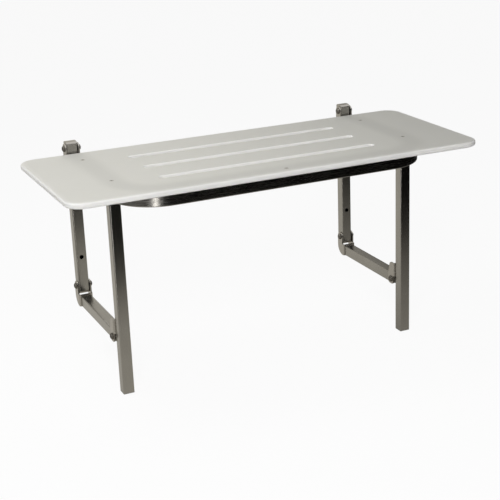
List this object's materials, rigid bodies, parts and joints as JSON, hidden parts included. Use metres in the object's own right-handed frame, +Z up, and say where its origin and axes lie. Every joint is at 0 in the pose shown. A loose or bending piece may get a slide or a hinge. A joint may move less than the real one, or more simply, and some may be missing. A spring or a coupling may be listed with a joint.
{
  "type": "fold down wall seat",
  "caption": "Wall seat with a slotted polymer board on a tube frame that folds up flat; two hinged legs stay upright on parallel links.",
  "frame": {"origin": "on the wall plane, in the middle of the four wall fixings", "axes": "+X along the wall to the right, +Y into the wall, +Z up; the seat stands out along -Y"},
  "size_m": [0.96, 0.4255, 0.502],
  "materials": {
    "board": "moulded white polymer, satin",
    "tube": "satin stainless steel square tube",
    "bracket": "satin stainless steel plate",
    "cap": "satin stainless steel",
    "fastener": "stainless steel, machined",
    "washer": "dark nylon",
    "foot": "grey nylon"
  },
  "bodies": {
    "wall_frame": {"bolt_link_pivot_left": "fastener", "bolt_link_pivot_right": "fastener", "bolt_seat_pivot_left": "fastener", "bolt_seat_pivot_right": "fastener", "nut_link_pivot_left": "fastener", "nut_link_pivot_right": "fastener", "nut_seat_pivot_left": "fastener", "nut_seat_pivot_right": "fastener", "post_bottom_cap_left": "cap", "post_bottom_cap_right": "cap", "post_top_cap_left": "cap", "post_top_cap_right": "cap", "wall_post_left": "tube", "wall_post_right": "tube", "washers_link_pivot_left": "washer", "washers_link_pivot_right": "washer", "washers_seat_pivot_left": "washer", "washers_seat_pivot_right": "washer"},
    "seat": {"bolt_arm_pivot_left": "fastener", "bolt_arm_pivot_right": "fastener", "nut_arm_pivot_left": "fastener", "nut_arm_pivot_right": "fastener", "seat_board": "board", "seat_frame": "tube", "seat_hinge_bracket_left": "bracket", "seat_hinge_bracket_right": "bracket", "seat_screws": "fastener", "washers_arm_pivot_left": "washer", "washers_arm_pivot_right": "washer"},
    "link_left": {"bolt_leg_pivot_left": "fastener", "link_rear_bracket_left": "bracket", "link_tube_left": "tube", "nut_leg_pivot_left": "fastener", "washers_leg_pivot_left": "washer"},
    "link_right": {"bolt_leg_pivot_right": "fastener", "link_rear_bracket_right": "bracket", "link_tube_right": "tube", "nut_leg_pivot_right": "fastener", "washers_leg_pivot_right": "washer"},
    "leg_left": {"foot_plug_left": "foot", "leg_mid_bracket_left": "bracket", "leg_top_bracket_left": "bracket", "leg_tube_left": "tube"},
    "leg_right": {"foot_plug_right": "foot", "leg_mid_bracket_right": "bracket", "leg_top_bracket_right": "bracket", "leg_tube_right": "tube"}
  },
  "joints": [
    {"name": "seat_fold", "type": "hinge", "parent": "wall_frame", "child": "seat", "pos_m": [0, -0.0175, 0.163], "axis": [-1, 0, 0], "range_deg": [0, 90]},
    {"name": "link_swing_left", "type": "hinge", "parent": "wall_frame", "child": "link_left", "pos_m": [-0.35, -0.0175, -0.165], "axis": [-1, 0, 0], "range_deg": [0, 90]},
    {"name": "leg_swing_left", "type": "hinge", "parent": "seat", "child": "leg_left", "pos_m": [-0.35, -0.2705, 0.129], "axis": [1, 0, 0], "range_deg": [0, 90]},
    {"name": "link_swing_right", "type": "hinge", "parent": "wall_frame", "child": "link_right", "pos_m": [0.35, -0.0175, -0.165], "axis": [-1, 0, 0], "range_deg": [0, 90]},
    {"name": "leg_swing_right", "type": "hinge", "parent": "seat", "child": "leg_right", "pos_m": [0.35, -0.2705, 0.129], "axis": [1, 0, 0], "range_deg": [0, 90]}
  ],
  "couplings": [
    {"joint": "link_swing_left", "follows": "seat_fold", "ratio": 1},
    {"joint": "leg_swing_left", "follows": "seat_fold", "ratio": 1},
    {"joint": "link_swing_right", "follows": "seat_fold", "ratio": 1},
    {"joint": "leg_swing_right", "follows": "seat_fold", "ratio": 1}
  ]
}
